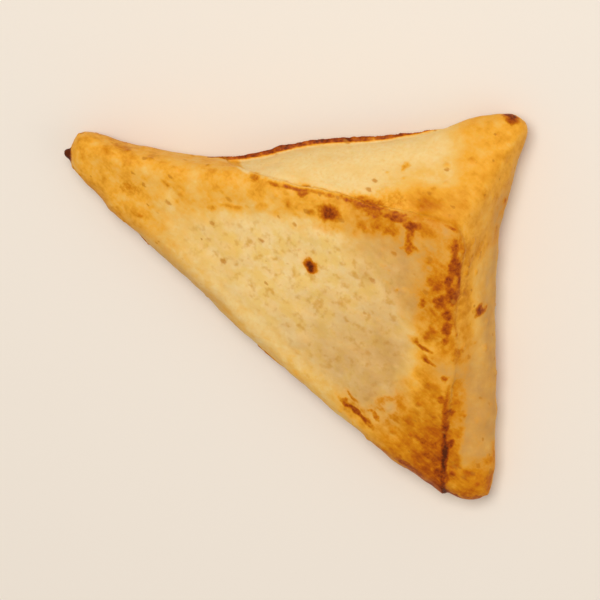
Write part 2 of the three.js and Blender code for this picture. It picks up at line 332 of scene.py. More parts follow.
section = np.concatenate(rows, axis=1)
crown_point, under_point = section[:, 0].mean(0), section[:, -1].mean(0)
section = section[:, 1:-1]
across = section.shape[1]
vertices = np.concatenate([section.reshape(-1, 3), [crown_point, under_point]])
crown_index, under_index = SPOKES * across, SPOKES * across + 1
this = np.arange(SPOKES)[:, None] * across + np.arange(across - 1)[None, :]
ahead = np.roll(np.arange(SPOKES), -1)[:, None] * across + np.arange(across - 1)[None, :]
faces = np.stack([this, this + 1, ahead + 1, ahead], -1).reshape(-1, 4).tolist()
first, last = np.arange(SPOKES) * across, np.arange(SPOKES) * across + across - 1
faces += [[crown_index, a, b] for a, b in zip(first.tolist(), np.roll(first, -1).tolist())]
faces += [[under_index, b, a] for a, b in zip(last.tolist(), np.roll(last, -1).tolist())]


def in_frame(points):
    """From plan millimetres to metres in the frame."""
    return (np.asarray(points) - [*FOOTPRINT_MIDDLE, 0]) * MM


def new_object(name, points, polygons=(), edges=()):
    mesh = bpy.data.meshes.new(name)
    mesh.from_pydata(in_frame(points).tolist(), list(edges), polygons)
    mesh.update()
    made = bpy.data.objects.new(name, mesh)
    bpy.context.scene.collection.objects.link(made)
    return made


def settle(source, name):
    """The object as its modifiers leave it, as a plain mesh of its own; the source goes."""
    evaluated = source.evaluated_get(bpy.context.evaluated_depsgraph_get())
    mesh = bpy.data.meshes.new_from_object(evaluated)
    made = bpy.data.objects.new(name, mesh)
    bpy.context.scene.collection.objects.link(made)
    bpy.data.objects.remove(source)
    return made


parcel = new_object("parcel_skin", vertices, faces)

# ---- Raw edges of the strip ------------------------------------------------------------------------
# Where the strip was cut, the layer below the flap stands out of the folded sides as a thin, wavy lip
# that browns before the rest. A lip is swept along its side and tapers off at both ends.

LEFT_RAW_HEIGHT, LONG_RAW_HEIGHT = 6.0, 4.5
RAW_EDGES = [  # side, where it starts and ends along it, how far it stands out, height
    (left_side, 0.14, 0.90, 1.35, LEFT_RAW_HEIGHT),
    (long_side, 0.09, 0.15, 1.5, LONG_RAW_HEIGHT + 0.1),
    (long_side, 0.17, 0.25, 1.7, LONG_RAW_HEIGHT - 0.1),
    (long_side, 0.48, 0.59, 1.5, LONG_RAW_HEIGHT - 0.3),
]
RAW_SHEET = 0.75
RAW_STEPS = 140


class Tree:
    """A node tree under construction; each call adds one node and returns its first output."""

    def __init__(self, tree):
        self.tree = tree
        self.nodes = tree.nodes

    def add(self, kind, *inputs, out=0, **settings):
        node = self.nodes.new(kind)
        for name, value in settings.items():
            setattr(node, name, value)
        sockets = [socket for socket in node.inputs if socket.enabled]
        for socket, value in zip(sockets, inputs):
            if value is None:
                continue
            if isinstance(value, bpy.types.NodeSocket):
                self.tree.links.new(value, socket)
            else:
                socket.default_value = value
        return [socket for socket in node.outputs if socket.enabled][out]

    def math(self, operation, a, b=0.0, c=0.0):
        return self.add("ShaderNodeMath", a, b, c, operation=operation)

    def scaled(self, vector, factor):
        return self.add("ShaderNodeVectorMath", vector, factor, operation="SCALE")


def geometry_tree(name, sizes):
    """A Geometry Nodes group with a geometry in and out and one named input for each size."""
    group = bpy.data.node_groups.new(name, "GeometryNodeTree")
    group.interface.new_socket("Geometry", in_out="INPUT", socket_type="NodeSocketGeometry")
    for size, (kind, value) in sizes.items():
        socket = group.interface.new_socket(size, in_out="INPUT", socket_type="NodeSocket" + kind)
        if value is not None:
            socket.default_value = value
    group.interface.new_socket("Geometry", in_out="OUTPUT", socket_type="NodeSocketGeometry")
    tree = Tree(group)
    given = tree.nodes.new("NodeGroupInput").outputs
    return tree, given


def finish_tree(tree, geometry, material):
    whole = tree.add("GeometryNodeRealizeInstances", geometry)
    painted = tree.add("GeometryNodeSetMaterial", whole, None, material)
    tree.tree.links.new(painted, tree.nodes.new("NodeGroupOutput").inputs[0])


def run_tree(obj, tree, values):
    """Puts the tree on the object, with its inputs set by the sockets' identifiers."""
    modifier = obj.modifiers.new(tree.tree.name, "NODES")
    modifier.node_group = tree.tree
    for item in tree.tree.interface.items_tree:
        if item.in_out == "INPUT" and item.name in values:
            modifier[item.identifier] = values[item.name]


crust = bpy.data.materials.new("baked_pastry")

lip_tree, given = geometry_tree(
    "Raw pastry edge",
    {
        "Sheet": ("Float", 0.75 * MM),
        "Stand out": ("Float", 1.3 * MM),
        "Wave": ("Float", 0.3 * MM),
        "Wave length": ("Float", 5 * MM),
        "Seed": ("Float", 0.0),
        "Crust": ("Material", None),
    },
)
path = lip_tree.add("GeometryNodeMeshToCurve", given["Geometry"])
place = lip_tree.add("GeometryNodeInputPosition")
row = lip_tree.add("ShaderNodeCombineXYZ", 0.0, 0.0, given["Seed"])
wave_place = lip_tree.add(
    "ShaderNodeVectorMath",
    lip_tree.scaled(place, lip_tree.math("DIVIDE", 1.0, given["Wave length"])),
    row,
    operation="ADD",
)
wave = lip_tree.add("ShaderNodeTexNoise", wave_place, 1.0, 3.0, 0.6, out=1)
wave = lip_tree.add("ShaderNodeVectorMath", wave, (0.5, 0.5, 0.5), operation="SUBTRACT")
wave = lip_tree.scaled(wave, lip_tree.math("MULTIPLY", given["Wave"], 4.0))
path = lip_tree.add("GeometryNodeSetPosition", path, None, None, wave)
path = lip_tree.add("GeometryNodeSetCurveNormal", path, mode="Z_UP")
width = lip_tree.math("MULTIPLY", given["Stand out"], 2.0)
profile = lip_tree.add("GeometryNodeCurvePrimitiveQuadrilateral", width, given["Sheet"])
along = lip_tree.add("GeometryNodeSplineParameter")
taper = lip_tree.math("POWER", lip_tree.math("SINE", lip_tree.math("MULTIPLY", along, math.pi)), 0.5)
lip = lip_tree.add("GeometryNodeCurveToMesh", path, profile, taper, True)
finish_tree(lip_tree, lip, given["Crust"])

lips = []
for number, (side, first_share, last_share, out, height) in enumerate(RAW_EDGES):
    start, end = side["line"]
    guide = start + np.linspace(first_share, last_share, RAW_STEPS)[:, None] * (end - start) - MIDDLE
    ridge = outline_point(np.arctan2(guide[:, 1], guide[:, 0]))
    points = np.column_stack([ridge, np.full(RAW_STEPS, height)])
    lip = new_object(f"raw_edge_{number}", points, edges=[(i, i + 1) for i in range(RAW_STEPS - 1)])
    run_tree(
        lip,
        lip_tree,
        {"Sheet": RAW_SHEET * MM, "Stand out": out * MM, "Seed": 4.0 * number, "Crust": crust},
    )
    lips.append(settle(lip, f"raw_lip_{number}"))

# A nib of pastry at the left tip, which burned in the oven.
NIB_AT = left_tip["at"] + [0.3, -1.6]
NIB_HEIGHT, NIB_RADIUS, NIB_STRETCH = 5.6, 1.2, (1.2, 0.9, 0.9)
NIB_RINGS, NIB_SIDES = 14, 24
nib_points = []
for tilt in np.linspace(0, math.pi, NIB_RINGS):
    for angle in np.linspace(0, 2 * math.pi, NIB_SIDES, endpoint=False):
        ray = np.array([math.sin(tilt) * math.cos(angle), math.sin(tilt) * math.sin(angle), math.cos(tilt)])
        nib_points.append(ray * NIB_RADIUS * NIB_STRETCH + [*NIB_AT, NIB_HEIGHT])
nib_faces = []
for ring in range(0, (NIB_RINGS - 1) * NIB_SIDES, NIB_SIDES):
    for i in range(NIB_SIDES):
        ahead = (i + 1) % NIB_SIDES
        below = ring + NIB_SIDES
        nib_faces.append([ring + i, below + i, below + ahead, ring + ahead])
nib = new_object("nib", nib_points, nib_faces)

# ---- One baked skin --------------------------------------------------------------------------------
# In the oven the layers fuse: the parcel, the flap, the lips and the nib become one closed skin, and
# every fold and edge in it softens.

SKIN_GRAIN = 0.365  # the finest detail that the skin keeps

bpy.context.view_layer.update()
with bpy.context.temp_override(
    active_object=parcel, selected_editable_objects=[parcel, *lips, nib], object=parcel
):
    bpy.ops.object.join()
fuse = parcel.modifiers.new("Fuse", "REMESH")
fuse.mode = "VOXEL"
fuse.voxel_size = SKIN_GRAIN * MM
body = settle(parcel, "samosa_body")

# ---- Where it browned ------------------------------------------------------------------------------
# The oven browns what is thin or stands up: the horn at the left tip, the flap's free edge and the ridges.
# The panel over the filling stays pale, and the filling shows through it. Painted shade and a painted
# highlight are mixed in below, where the light falls unevenly.

count = len(body.data.vertices)
co = np.empty(count * 3)
body.data.vertices.foreach_get("co", co)
co = co.reshape(-1, 3) / MM + [*FOOTPRINT_MIDDLE, 0]
normals = np.empty(count * 3)
body.data.vertex_normals.foreach_get("vector", normals)
normals = normals.reshape(-1, 3)
plan, z = co[:, :2], co[:, 2]


def patchy(size, row):
    """Smooth noise in the pastry, about -0.5 to 0.5, in patches of that size."""
    return np.array([noise.noise(Vector((x / size, y / size, h / size + 9 * row))) for x, y, h in co])


def away_from(place):
    return np.linalg.norm(plan - place, axis=1)


def within(start, end, value):
    """1 before `start`, 0 after `end`."""
    return 1 - fade(start, end, value)


def around(middle, reach, value):
    """1 at the middle, dying off over the reach on both sides."""
    return np.exp(-(((value - middle) / reach) ** 2))


def strongest(*shares):
    return np.max(np.stack(shares), axis=0)


broad_patch, patch, speck = patchy(7, 0), patchy(2.6, 1), patchy(1.5, 2)

# Where each point lies: millimetres from the parcel's features, and shares along the free edge, which
# runs from the left side to the corner on the crown and on down the right ridge.
RIGHT_EDGE_LENGTH = 44.0
depth, along_edge = flap_place(plan)
to_corner = np.clip(along_edge / corner_reach, 0, 1)
past_corner = np.clip((along_edge - corner_reach) / RIGHT_EDGE_LENGTH, 0, 1)
from_left, from_right = away_from(left_tip["at"]), away_from(right_tip["at"])
from_peak, from_corner = away_from(peak_tip["at"]), away_from(corner)
from_left_side, from_long_side = inside_side(left_side, plan), inside_side(long_side, plan)
rim_depth = inside(plan)
on_top = fade(-0.6, 0.9, z - parting_height(plan))

# Just where the edge comes over the left side, the flap's colour carries on a little past it.
hung_over = 0.7 * within(5, 10, along_edge) + 3 * within(2.6, 3.4, along_edge)
on_flap = fade(-0.12, 0.12, depth + hung_over)

# The flap is browned in a band along its free edge, of uneven width, and at its corner and both ends.
LEFT_BAND = 9.2
LEFT_BAND_CHANGES = [(0.0, 0.5, -3.9), (0.45, 0.6, 2.2), (0.85, 1.0, 0.8)]  # from, to, how much wider
RIGHT_BAND = 8.0
left_width = LEFT_BAND + sum(wider * fade(start, end, to_corner) for start, end, wider in LEFT_BAND_CHANGES)
strayed = depth + 1.8 * broad_patch + 1.2 * patch
left_band = within(-3.0, 2.4, strayed - left_width) * within(0.0, 0.12, past_corner)
right_band = within(-3.2, 2.6, strayed - RIGHT_BAND) * fade(0.88, 1.0, to_corner)
near_corner = within(8, 19, from_corner + 2 * broad_patch)
corner_glow = within(16, 28, from_corner + 2 * broad_patch + 2 * patch)
horn = within(17, 32, from_left + 3 * broad_patch)
horn_glow = within(22, 52, from_left + 5 * broad_patch)
low_corner = within(22, 36, from_right + 4 * broad_patch + 2 * patch)
fold_glow = within(0.3, 2.4, rim_depth + 0.6 * broad_patch)
band_limit = around(-1.0, 1.1, strayed - left_width) * within(0.4, 0.75, to_corner)
band_limit = band_limit * np.clip(0.55 + 1.4 * patch, 0, 1) * within(0.0, 0.1, past_corner)
edge_streak = within(0.6, 2.2, depth + 1.2 * patch) * fade(0.02, 0.1, past_corner)
edge_streak = edge_streak * within(0.3, 0.5, past_corner)
long_side_dashes = around(77, 7, plan[:, 0]) * around(0.5, 3, plan[:, 1])
flap_browning = [  # where, how brown: 0 is raw dough, 0.5 orange, 1 burnt
    # The panel browns more towards its lower right; part of this darkening is painted shade, where less
    # light falls.
    (1, 0.08 + 0.14 * fade(48, 84, plan[:, 0] - 0.3 * plan[:, 1])),
    (left_band, 0.40 + 0.12 * fade(0.5, 1, to_corner)),
    (left_band * around(0.70, 0.16, to_corner), 0.65),
    (right_band, 0.58),
    (np.maximum(left_band, right_band) * near_corner, 0.59),
    (corner_glow, 0.34),
    (horn_glow, 0.26),
    (horn, 0.36 + 0.02 * within(3, 14, from_left) + 0.1 * within(1, 7, from_long_side)),
    (horn, 0.36 + 0.1 * within(0.2, 2.6, rim_depth)),
    (low_corner, 0.61 + 0.17 * within(1.5, 9, depth) * within(12, 20, from_right)),
    (band_limit, 0.54 - 0.06 * fade(0.3, 0.5, to_corner)),
    (edge_streak, 0.72),
    (fold_glow, 0.22),
    (long_side_dashes, 0.55),
]

# The two strips beside it are pale in their middle, partly a painted highlight on the upper strip, and
# golden at the peak, the ridges and the corners.
PALE_HIGHLIT_STRIP_AT = [43, 35.5]
crest = np.array([corner, peak_tip["at"]])
from_crest = left_of(crest, plan)
right_strip = fade(1.5, 4.5, -from_crest)
peak_gold = within(8, 26, from_peak + 3 * broad_patch)
corner_gold = within(5, 14, from_corner + 2 * broad_patch)
edge_gold = around(-1.8, 3.8, depth) * around(corner_reach - 7.5, 7, along_edge)
pale_rim = within(3, 7, from_left_side) * fade(10, 17, from_peak)
# A pale patch on the upper strip, partly a painted highlight.
pale_highlit_middle = within(3, 11, np.linalg.norm((plan - PALE_HIGHLIT_STRIP_AT) * [0.6, 1], axis=1))
low_ridge = fade(0.5, 0.75, past_corner)
near_ridge = within(1 + 1.2 * low_ridge, 5.7, -depth + 1.2 * broad_patch) * fade(0.9, 1, to_corner)
strip_browning = [
    (1, 0.19 - 0.15 * strongest(pale_highlit_middle, pale_rim)),
    (peak_gold, 0.39 - 0.3 * pale_rim),
    (corner_gold, 0.54),
    (edge_gold, 0.63),
    (within(2, 9, np.abs(from_crest)), 0.44),
    (right_strip, 0.30),
    (near_ridge, 0.50 + 0.12 * low_ridge),
    (within(6, 18, from_right + 4 * broad_patch + 3 * patch), 0.62),
]


def browned(places):
    return strongest(*(where * brown for where, brown in places))


top_toast = browned(flap_browning) * on_flap + browned(strip_browning) * (1 - on_flap)

# Some places stayed paler than what is round them, and a few of those get tan that is partly painted shade.
PALER_PLACES = [  # place, reach, how much less brown, how much tan and painted shade
    (66.5, 37.6, 4.2, 0.28, 0.8),
    (83.3, 20.0, 3.0, 0.40, 0.8),
    (25.8, 14.2, 5.0, 0.28, 0.0),
    (15.5, 13.0, 3.2, 0.20, 0.0),
    (8.5, 2.1, 2.6, 0.14, 0.0),
    (41.2, 22.5, 3.0, 0.16, 0.0),
    (69.6, 48.3, 4.0, 0.20, 0.3),
    (64.8, 47.0, 3.0, 0.18, 0.2),
    (72.0, 44.2, 3.0, 0.15, 0.2),
    (82.7, 1.3, 3.0, 0.22, 0.3),
    (54.3, 34.8, 3.0, 0.20, 0.0),
    (78.0, 28.0, 3.0, 0.08, 0.0),
    (70.0, 25.8, 2.2, 0.20, 0.0),
]
paler_tan_and_shade = np.zeros(count)
for x, y, reach, paler, tan_and_shade_share in PALER_PLACES:
    near = around(0, reach, away_from([x, y]))
    top_toast = top_toast * (1 - paler * near)
    # The tan laid here is partly painted shade.
    paler_tan_and_shade = np.maximum(paler_tan_and_shade, tan_and_shade_share * near)
under_toast = 0.36 + 0.25 * np.clip(broad_patch * 2, -0.6, 1)
toast = top_toast * on_top + under_toast * (1 - on_top)

# Scorch marks: spots, and dashes that lie along their strip.
MARK_RAGGED = 0.7  # how far a mark's outline strays
MARK_FADE = (0.5, 2.6)  # in half widths, where a mark starts to fade and where it ends
ALONG_LEFT_EDGE = [  # place, half length, half width, how dark
    (40.5, 28.9, 0.9, 0.7, 0.70),
    (14.7, 5.0, 2.2, 1.2, 0.54),
    (32.0, 24.0, 0.9, 0.6, 0.66),
    (47.0, 29.5, 1.7, 1.3, 0.86),
    (51.8, 35.4, 3.0, 1.1, 0.75),
    (57.0, 37.4, 2.2, 0.7, 0.80),
    (60.5, 38.2, 1.6, 0.7, 0.82),
    (63.0, 34.6, 1.5, 0.5, 0.66),
    (52.5, 44.5, 0.5, 0.5, 0.48),
    (55.5, 39.8, 2.6, 1.2, 0.47),
    (48.4, 26.9, 2.0, 0.9, 0.38),
]
ALONG_RIGHT_EDGE = [
    (69.4, 40.4, 1.7, 0.8, 0.78),
    (71.3, 37.8, 2.3, 0.9, 0.82),
    (72.6, 34.6, 1.6, 0.9, 0.82),
    (74.6, 32.8, 1.9, 1.0, 0.84),
    (74.0, 30.4, 1.5, 1.0, 0.82),
    (76.6, 29.0, 1.4, 0.9, 0.84),
    (71.6, 27.8, 1.1, 0.8, 0.74),
    (78.4, 26.8, 1.2, 0.9, 0.82),
    (79.6, 24.8, 0.9, 0.7, 0.76),
    (84.5, 18.4, 0.8, 0.6, 0.72),
    (86.9, 14.8, 0.9, 0.6, 0.74),
    (89.5, 13.4, 0.8, 0.7, 0.80),
    (93.7, 8.0, 1.0, 0.8, 0.90),
    (61.2, 37.2, 1.4, 0.9, 0.76),
    (62.4, 35.0, 1.3, 0.8, 0.72),
    (81.0, 32.5, 0.8, 0.7, 0.86),
    (83.0, 24.0, 1.0, 0.9, 0.66),
    (91.4, 5.6, 1.4, 1.0, 0.76),
]
ALONG_LONG_SIDE = [
    (50.8, 18.2, 1.0, 0.9, 0.98),
    (77.0, 20.8, 1.9, 0.45, 0.76),
    (79.6, 19.2, 1.6, 0.45, 0.74),
    (76.0, 0.6, 3.2, 0.5, 0.84),
    (73.5, 2.6, 1.6, 0.45, 0.66),
    (78.8, 3.0, 1.2, 0.5, 0.66),
    (90.8, -1.2, 3.0, 0.8, 0.82),
    (93.8, 3.3, 1.2, 1.0, 0.78),
    (89.0, 5.0, 1.6, 0.6, 0.76),
    (92.0, 3.4, 1.4, 0.6, 0.80),
    (96.0, 1.8, 1.8, 1.0, 0.84),
    (61.0, 63.9, 1.5, 0.8, 0.92),
    (100.6, -0.7, 2.4, 0.7, 0.84),
    (104.9, 1.6, 1.0, 1.4, 0.76),
    (103.0, 1.4, 1.2, 1.2, 0.72),
    (62.0, 28.4, 1.9, 0.5, 0.42),
    (65.0, 26.0, 1.8, 0.6, 0.42),
]
scorch = np.zeros(count)
for lie, marks in (
    (along_left, ALONG_LEFT_EDGE),
    (along_right, ALONG_RIGHT_EDGE),
    (np.array([1.0, 0.0]), ALONG_LONG_SIDE),
):
    for x, y, half_length, half_width, dark in marks:
        off = plan - [x, y] + np.stack([patch, speck], -1) * MARK_RAGGED
        off = np.stack([off @ lie / half_length, (lie[0] * off[:, 1] - lie[1] * off[:, 0]) / half_width])
        mark = dark * within(*MARK_FADE, np.linalg.norm(off, axis=0))
        scorch = np.maximum(scorch, mark * on_top)

# The free edge is a thin brown line on the left, and a burnt crease down to the right tip.
edge_line = within(0.1, 0.9, np.abs(depth - 0.25 - 0.4 * fade(0.6, 0.9, to_corner)))
edge_line = edge_line * fade(0.12, 0.3, to_corner) * within(0.0, 0.1, past_corner) * on_top
crease_half = 1.6 + 0.3 * fade(0.7, 0.95, past_corner)
crease = within(0.1, crease_half, np.abs(depth - 0.5 + 0.5 * patch))
crease = crease * fade(0.56, 0.84, past_corner) * on_top
scorch = strongest(
    scorch,
    edge_line * (0.65 + 0.35 * speck),
    crease * (0.80 + 0.12 * patch + 0.14 * fade(0.78, 1, past_corner)),
)

# The raw edges are dark where they stand out of the flap or the strip, and the nib is burnt.
raw_height = np.where(from_left_side < from_long_side, LEFT_RAW_HEIGHT, LONG_RAW_HEIGHT)
at_raw = within(0.5, 0.9, np.abs(z - raw_height))
beside_flap = within(-0.12, 0.12, depth)
out_of_strip = fade(0.1, 0.5, -rim_depth) * beside_flap
out_of_flap = fade(1.05, 1.4, -rim_depth)
showing = at_raw * strongest(out_of_strip, out_of_flap)
from_nib = np.linalg.norm(co - [*NIB_AT, NIB_HEIGHT], axis=1)
scorch = strongest(
    scorch,
    showing * (0.76 + 0.1 * beside_flap + 0.2 * speck),
    1.05 * within(1.2, 2.6, from_nib),
)
scorch = np.clip(scorch, 0, 1.1)

# The filling shows through the flap's middle. The right strip, the crown and the shaded fold are tan:
# partly the crust's own tan, partly painted shade where the surface turns from the light. Painted shade
# also darkens the panel's lower right.
filling = on_top * on_flap * fade(-1, 4, strayed - left_width) * fade(2, 8, rim_depth)
filling = filling * fade(20, 34, from_left) * fade(16, 28, from_right)
top_flap, top_strip = on_top * on_flap, on_top * (1 - on_flap)
# Along the long side's fold the surface turns down from the light, so tan is painted there as shade.
shaded_fold = within(0.5, 3.5, from_long_side) * fade(14, 24, from_left) * within(35, 55, from_left)
tan_and_shade = strongest(
    # Tan on the right strip, partly painted shade where it faces away from the light.
    top_strip * right_strip * fade(2.5, 5.5, -depth),
    # Tan by the right tip, partly painted shade where the surface leans away from the light.
    top_strip * within(24, 42, from_right) * fade(4, 11, from_right),
    # Painted shade: the panel darker towards its lower right.
    0.8 * filling * fade(41, 70, plan[:, 0] - 0.4 * plan[:, 1]),
    # Painted shade round the crown corner.
    0.85 * top_flap * corner_glow,
    # Painted shade along the long side's fold.
    0.6 * top_flap * shaded_fold,
    # Tan and painted shade at the paler places.
    on_top * paler_tan_and_shade,
)

# How thickly it blisters, how freely the sheet can rise, and how unevenly it browned.
blistering = np.clip(toast * 1.4 - 0.15, 0.06, 1) * on_top + 0.15 * (1 - on_top)
loose = fade(0.2, 1.2, z + 3 * np.maximum(normals[:, 2], 0))
calm_strip = (1 - on_flap) * fade(0.2, 1.5, -depth)
calm = strongest(0.35 * calm_strip, 0.35 * low_corner, 0.8 * edge_gold) * on_top
lively = (0.45 + 0.8 * toast) * (1 - calm)

for name, values in {
    "toast": toast,
    "scorch": scorch,
    "filling": filling,
    "tan_and_shade": tan_and_shade,
    "blistering": blistering,
    "loose": loose,
    "lively": lively,
}.items():
    attribute = body.data.attributes.new(name, "FLOAT", "POINT")
    attribute.data.foreach_set("value", values.astype(np.float32))

# ---- Blisters, bubbles and wrinkles ----------------------------------------------------------------
# Steam raises small blisters in the crust, most where it browned, and a few wide bubbles; the filling
# pushes soft lumps into the panel, and the sheet wrinkles finely as it dries.

spot_tree = bpy.data.node_groups.new("Risen spots", "GeometryNodeTree")
SPOT_INPUTS = {
    "Geometry": "Geometry",
    "Where": "Float",
    "Per square metre": "Float",
    "Gap": "Float",
    "Smallest": "Float",
    "Largest": "Float",
    "Seed": "Int",
}
for name, kind in SPOT_INPUTS.items():
    spot_tree.interface.new_socket(name, in_out="INPUT", socket_type="NodeSocket" + kind)
for name in ("Dome", "Radius", "Chance"):
    spot_tree.interface.new_socket(name, in_out="OUTPUT", socket_type="NodeSocketFloat")
spots = Tree(spot_tree)
given = spots.nodes.new("NodeGroupInput").outputs
points = spots.add(
    "GeometryNodeDistributePointsOnFaces",
    given["Geometry"],
    None,
    given["Gap"],
    given["Per square metre"],
    given["Where"],
    given["Seed"],
    distribute_method="POISSON",
)
here = spots.add("GeometryNodeInputPosition")
nearest = spots.add("GeometryNodeSampleNearest", points, here)
centre = spots.add("GeometryNodeSampleIndex", points, here, nearest, data_type="FLOAT_VECTOR")
away = spots.add("ShaderNodeVectorMath", centre, here, operation="DISTANCE")
size = spots.add("FunctionNodeRandomValue", given["Smallest"], given["Largest"], None, given["Seed"])
radius = spots.add("GeometryNodeSampleIndex", points, size, nearest)
luck = spots.add("FunctionNodeRandomValue", 0.0, 1.0, None, spots.math("ADD", given["Seed"], 1.0))
chance = spots.add("GeometryNodeSampleIndex", points, luck, nearest)
share = spots.math("MINIMUM", spots.math("DIVIDE", away, radius), 1.0)
fall = spots.math("SUBTRACT", 1.0, spots.math("MULTIPLY", share, share))
dome = spots.math("MULTIPLY", fall, fall)
ends = spots.nodes.new("NodeGroupOutput").inputs
for socket, value in zip(ends, (dome, radius, chance)):
    spot_tree.links.new(value, socket)

crust_tree, given = geometry_tree(
    "Blistered crust",
    {
        "Blisters per square metre": ("Float", 90000.0),
        "Smallest blister": ("Float", 0.45 * MM),
        "Largest blister": ("Float", 1.05 * MM),
        "Blister rise": ("Float", 0.28),
        "Bubbles per square metre": ("Float", 5000.0),
        "Smallest bubble": ("Float", 1.6 * MM),
        "Largest bubble": ("Float", 3.4 * MM),
        "Bubble rise": ("Float", 0.1),
        "Lump size": ("Float", 9 * MM),
        "Lump depth": ("Float", 0.8 * MM),
        "Wrinkle size": ("Float", 2.6 * MM),
        "Wrinkle depth": ("Float", 0.2 * MM),
        "Seed": ("Int", 3),
        "Crust": ("Material", None),
    },
)


def baked_in(name):
    """A share that the last section gave each point of the skin."""
    return crust_tree.add("GeometryNodeInputNamedAttribute", name, data_type="FLOAT")


def risen(where, density, gap, smallest, largest, seed):
    node = crust_tree.nodes.new("GeometryNodeGroup")
    node.node_tree = spot_tree
    values = (given["Geometry"], where, density, gap, smallest, largest, seed)
    for socket, value in zip(node.inputs, values):
        if isinstance(value, bpy.types.NodeSocket):
            crust_tree.tree.links.new(value, socket)
        else:
            socket.default_value = value
    return node.outputs


blister = risen(
    baked_in("blistering"),
    given["Blisters per square metre"],
    crust_tree.math("MULTIPLY", given["Largest blister"], 1.1),
    given["Smallest blister"],
    given["Largest blister"],
    given["Seed"],
)
bubble = risen(
    0.7,
    given["Bubbles per square metre"],
    crust_tree.math("MULTIPLY", given["Largest bubble"], 1.6),
    given["Smallest bubble"],
    given["Largest bubble"],
    crust_tree.math("ADD", given["Seed"], 5.0),
)


def rise_of(spot, share):
    return crust_tree.math("MULTIPLY", crust_tree.math("MULTIPLY", spot["Dome"], spot["Radius"]), share)


def ripple(size, depth, detail, row):
    here = crust_tree.add("GeometryNodeInputPosition")
    scaled = crust_tree.scaled(here, crust_tree.math("DIVIDE", 1.0, size))
    shifted = crust_tree.add("ShaderNodeVectorMath", scaled, (0.0, 0.0, row), operation="ADD")
    grain = crust_tree.add("ShaderNodeTexNoise", shifted, 1.0, detail, 0.55)
    centred = crust_tree.math("MULTIPLY", crust_tree.math("SUBTRACT", grain, 0.5), 2.0)
    return crust_tree.math("MULTIPLY", centred, depth)


lumps = ripple(given["Lump size"], given["Lump depth"], 1.0, 3.0)
wrinkles = ripple(given["Wrinkle size"], given["Wrinkle depth"], 3.0, 8.0)
blister_rise = rise_of(blister, given["Blister rise"])
bubble_rise = rise_of(bubble, given["Bubble rise"])
height = crust_tree.math("ADD", blister_rise, bubble_rise)
height = crust_tree.math("ADD", height, crust_tree.math("ADD", lumps, wrinkles))
height = crust_tree.math("MULTIPLY", height, baked_in("loose"))
offset = crust_tree.scaled(crust_tree.add("GeometryNodeInputNormal"), height)
raised = crust_tree.math("MULTIPLY", blister["Dome"], blister["Chance"])
marked = crust_tree.add(
    "GeometryNodeStoreNamedAttribute", given["Geometry"], None, "blister", raised, domain="POINT"
)
moved = crust_tree.add("GeometryNodeSetPosition", marked, None, None, offset)
finish_tree(crust_tree, moved, given["Crust"])

run_tree(body, crust_tree, {"Seed": 3, "Crust": crust})
samosa = settle(body, "samosa_crust")

# The tray keeps the underside flat.
co = np.empty(len(samosa.data.vertices) * 3)
samosa.data.vertices.foreach_get("co", co)
co = co.reshape(-1, 3)
co[:, 2] = np.maximum(co[:, 2], 0)
samosa.data.vertices.foreach_set("co", co.ravel())
samosa.data.polygons.foreach_set("use_smooth", np.ones(len(samosa.data.polygons), bool))
samosa.data.update()

# ---- The crust's colours ---------------------------------------------------------------------------
# Baked wheat pastry brushed with oil: cream where the filling keeps it moist, gold, orange and at last
# dark brown where it dried, with fine freckles, and a dull sheen.

crust.use_nodes = True
paint = Tree(crust.node_tree)
paint.nodes.clear()


def srgb(red, green, blue):
    """A colour named by its 0 to 255 screen values, as the shader's linear one."""
    parts = [channel / 255 for channel in (red, green, blue)]
    return tuple(p / 12.92 if p <= 0.04045 else ((p + 0.055) / 1.055) ** 2.4 for p in parts) + (1.0,)


TOAST_COLOURS = [  # how brown, and the colour there
    (0.00, srgb(241, 209, 142)),
    (0.20, srgb(238, 187, 94)),
    (0.40, srgb(238, 168, 50)),
    (0.58, srgb(212, 134, 10)),
    (0.72, srgb(188, 98, 0)),
    (0.86, srgb(152, 63, 0)),
    (1.00, srgb(90, 34, 3)),
]
MOIST = srgb(241, 208, 146)  # over the filling
YELLOWED = srgb(236, 192, 92)  # where turmeric and oil came through
SPICED = srgb(214, 158, 64)  # over specks of herb and spice
FRECKLED = srgb(190, 120, 28)
# Tan, which also serves as painted shade.
TAN_AND_SHADE = srgb(192, 140, 76)
BROADLY, PATCHILY, FINELY = 0.24, 0.4, 0.14  # how far the browning varies, at each size of patch
FRECKLE_SIZES = (0.1, 0.3)
RAISED_BROWNS = 0.2  # a blister's top is this much browner


def shade_attribute(name):
    return paint.add("ShaderNodeAttribute", attribute_name=name, out=2)


def times(a, b):
    return paint.math("MULTIPLY", a, b)


def plus(a, b):
    return paint.math("ADD", a, b)


def grain(per_mm, detail, shift=0.0, rough=0.55, out=0):
    """Noise in the pastry, from its own place in the pattern; as a colour when `out` is 1."""
    place = paint.add("ShaderNodeVectorMath", in_mm, (shift, shift, shift), operation="ADD")
    return paint.add("ShaderNodeTexNoise", place, per_mm, detail, rough, out=out)


def swing(value, depth):
    """Noise about its middle, scaled to plus or minus the depth."""
    return times(paint.math("SUBTRACT", value, 0.5), 2 * depth)


def blend(share, a, b):
    node = paint.nodes.new("ShaderNodeMix")
    node.data_type = "RGBA"
    for socket, value in zip([s for s in node.inputs if s.enabled], (share, a, b)):
        if isinstance(value, bpy.types.NodeSocket):
            paint.tree.links.new(value, socket)
        else:
            socket.default_value = value
    return [s for s in node.outputs if s.enabled][0]


def between(value, start, end):
    return paint.add("ShaderNodeMapRange", value, start, end, 0.0, 1.0, interpolation_type="SMOOTHSTEP")


